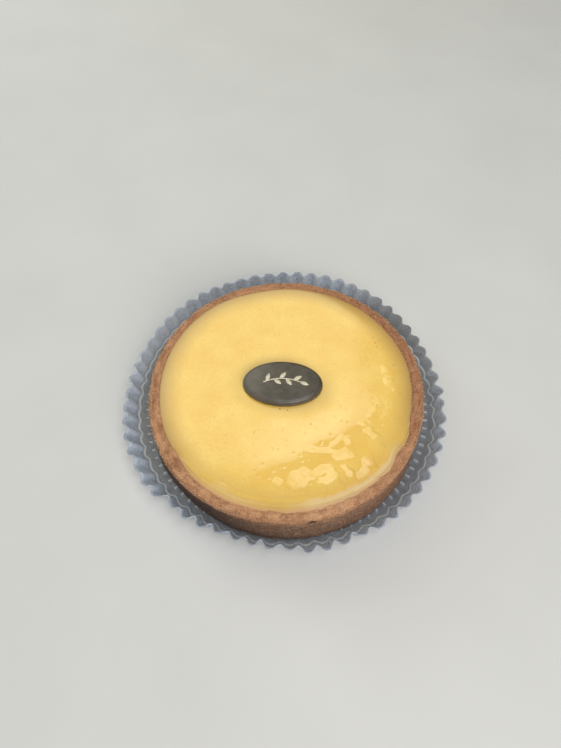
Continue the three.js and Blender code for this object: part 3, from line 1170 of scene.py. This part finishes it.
FLOOR_HALF = 3000
FLOOR_DROP = 0.3
FLOOR_CLOUD = 40.0
FLOOR_COLOURS = ((0.62, 0.62, 0.61, 1.0), (0.65, 0.65, 0.64, 1.0))
WORLD_STRENGTH = 0.15

# Soft lamps that are turned to the tart
TOP_LAMP = dict(place=(150, -150, 700), size=(500, 400), power=2.0, colour=(0.97, 0.98, 1.0))
FRONT_FILL = dict(place=(330, -680, 480), size=(700, 400), power=5.0, colour=(1.0, 0.97, 0.91))
SIDE_WINDOW = dict(place=(-600, 450, 350), size=(500, 400), power=2.3, colour=(0.84, 0.92, 1.0))

# Large soft panel above and behind on the left, cut off along a slanting front edge: the curd
# mirrors it up to that edge, and a brighter strip along the edge shines in the glaze's patches
PANEL_LEVEL = 600
PANEL_LOW = np.array((-755, 150))
PANEL_HIGH = np.array((155, 900))
PANEL_EDGE_POINT = np.array((130, 300))
PANEL_EDGE_TURN = math.radians(31)
PANEL_EDGE_SOFT = 24
PANEL_WIDENS = -20
PANEL_SIDE_SOFT = 60
PANEL_FAR_SOFT = 260
PANEL_POWER = 2.6
PANEL_COLOUR = (1.0, 0.95, 0.69)
STRIP_SIZE = (260, 90)
STRIP_BEYOND = 40
STRIP_DROP = 5
STRIP_POWER = 0.08


def make_floor():
    corners = np.array([(-1, -1), (1, -1), (1, 1), (-1, 1)]) * FLOOR_HALF
    floor = mesh_object("floor", [(x, y, -FLOOR_DROP) for x, y in corners], [(0, 1, 2, 3)])
    floor.data.materials.append(plain_material("pale_floor", FLOOR_CLOUD, 4.0, *FLOOR_COLOURS, 0.6))


def make_light(name, size, power, colour=(1.0, 1.0, 1.0)):
    """A soft rectangular lamp, with its size in millimetres."""
    lamp = bpy.data.lights.new(name, "AREA")
    lamp.shape = "RECTANGLE"
    lamp.size, lamp.size_y = (side * MM for side in size)
    lamp.energy = power
    lamp.color = colour
    holder = bpy.data.objects.new(name, lamp)
    bpy.context.scene.collection.objects.link(holder)
    return holder


def maths(tree, operation, first, second):
    """The output of a node that works on two values, each a number or the output of a node."""
    node = tree.nodes.new("ShaderNodeMath")
    node.operation = operation
    sockets = {"first": node.inputs[0], "second": node.inputs[1]}
    plug(tree, sockets, first=first, second=second)
    return node.outputs[0]


def lamp_face(lamp):
    """A lamp's nodes, with the outputs that run from 0 to 1 along its width and its depth."""
    lamp.use_nodes = True
    tree = lamp.node_tree
    split = tree.nodes.new("ShaderNodeSeparateXYZ")
    tree.links.new(tree.nodes.new("ShaderNodeNewGeometry").outputs["Parametric"], split.inputs[0])
    return tree, split.outputs["X"], split.outputs["Y"]


def fade_lamp(lamp):
    """Makes a lamp bright along its front edge, and fading to its back and its ends."""
    tree, across, back = lamp_face(lamp)
    other_end = maths(tree, "SUBTRACT", 1.0, across)
    along = maths(tree, "MULTIPLY", 4.0, maths(tree, "MULTIPLY", across, other_end))
    strength = maths(tree, "MULTIPLY", along, maths(tree, "SUBTRACT", 1.0, back))
    tree.links.new(strength, tree.nodes["Emission"].inputs["Strength"])


def cut_lamp(lamp, edge, edge_soft, sides):
    """Darkens a lamp in front of a line over its face, with a soft edge and soft sides."""
    tree, across, back = lamp_face(lamp)
    start, rise = edge
    soft, widens, widening = edge_soft
    right_soft, left_soft = sides
    line_at = maths(tree, "ADD", start, maths(tree, "MULTIPLY", rise, across))
    beyond = maths(tree, "MAXIMUM", 0.0, maths(tree, "SUBTRACT", widens, across))
    width = maths(tree, "ADD", soft, maths(tree, "MULTIPLY", widening, beyond))
    front = maths(tree, "DIVIDE", maths(tree, "SUBTRACT", back, line_at), width)
    right = maths(tree, "DIVIDE", maths(tree, "SUBTRACT", 1.0, across), right_soft)
    left = maths(tree, "DIVIDE", across, left_soft)
    strength = maths(tree, "MAXIMUM", 0.0, maths(tree, "MINIMUM", 1.0, front))
    for side in (right, left):
        strength = maths(tree, "MULTIPLY", strength, maths(tree, "MINIMUM", 1.0, side))
    tree.links.new(strength, tree.nodes["Emission"].inputs["Strength"])


def make_side_light(name, place, **kind):
    """A lamp at a place, in millimetres, turned to the tart."""
    lamp = make_light(name, **kind)
    lamp.location = Vector(place) * MM
    lamp.rotation_euler = (-Vector(place)).to_track_quat("-Z", "Y").to_euler()
    return lamp


def make_panel():
    """The large panel and the strip along its front edge, both level and facing down."""
    size = PANEL_HIGH - PANEL_LOW
    panel = make_light("sky_panel", size.tolist(), PANEL_POWER, PANEL_COLOUR)
    panel.location = Vector((*(PANEL_LOW + PANEL_HIGH) / 2, PANEL_LEVEL)) * MM
    edge_at_left = PANEL_EDGE_POINT[1] - (PANEL_EDGE_POINT[0] - PANEL_LOW[0]) * math.tan(PANEL_EDGE_TURN)
    edge = ((edge_at_left - PANEL_LOW[1]) / size[1], size[0] * math.tan(PANEL_EDGE_TURN) / size[1])
    widens = (PANEL_WIDENS - PANEL_LOW[0]) / size[0]
    edge_soft = (PANEL_EDGE_SOFT / size[1], widens, size[0] / size[1])
    cut_lamp(panel.data, edge, edge_soft, (PANEL_SIDE_SOFT / size[0], PANEL_FAR_SOFT / size[0]))
    along = np.array((math.cos(PANEL_EDGE_TURN), math.sin(PANEL_EDGE_TURN)))
    back = np.array((-along[1], along[0]))
    strip = make_light("bright_strip", STRIP_SIZE, STRIP_POWER)
    middle = PANEL_EDGE_POINT + along * (STRIP_BEYOND - STRIP_SIZE[0] / 2) + back * STRIP_SIZE[1] / 2
    strip.location = Vector((*middle, PANEL_LEVEL - STRIP_DROP)) * MM
    strip.rotation_euler = (0, 0, PANEL_EDGE_TURN)
    fade_lamp(strip.data)


def make_lights():
    make_panel()
    make_side_light("top_lamp", **TOP_LAMP)
    make_side_light("front_fill", **FRONT_FILL)
    window = make_side_light("side_window", **SIDE_WINDOW)
    window.visible_glossy = False
    world = bpy.data.worlds.new("studio")
    world.use_nodes = True
    background = world.node_tree.nodes["Background"]
    background.inputs["Color"].default_value = (1, 1, 1, 1)
    background.inputs["Strength"].default_value = WORLD_STRENGTH
    bpy.context.scene.world = world


def make_camera():
    """The camera, placed from the tart's foot."""
    yaw = Matrix.Rotation(-CAMERA_YAW, 4, "Z")
    pitch = Matrix.Rotation(math.pi / 2 - CAMERA_PITCH, 4, "X")
    roll = Matrix.Rotation(CAMERA_ROLL, 4, "Z")
    away = Vector((0, -math.cos(CAMERA_ELEVATION), math.sin(CAMERA_ELEVATION))) * CAMERA_DISTANCE
    place = Vector((*TART_MIDDLE, FOOT)) + away
    lens = bpy.data.cameras.new("camera")
    lens.sensor_width = SENSOR
    lens.lens = FOCAL_PIXELS / PHOTO_HEIGHT * SENSOR
    lens.clip_start = CLIP_START * MM
    camera = bpy.data.objects.new("camera", lens)
    bpy.context.scene.collection.objects.link(camera)
    camera.matrix_world = Matrix.Translation(place * MM) @ yaw @ pitch @ roll
    bpy.context.scene.camera = camera


make_camera()
make_floor()
make_lights()
make_crust(pastry_material(), grain_material())
make_curd(curd_material())
make_specks(speck_material())
make_plaque(chocolate_material(), print_material())
make_case(plastic_material())
bpy.context.scene.view_settings.view_transform = "Standard"
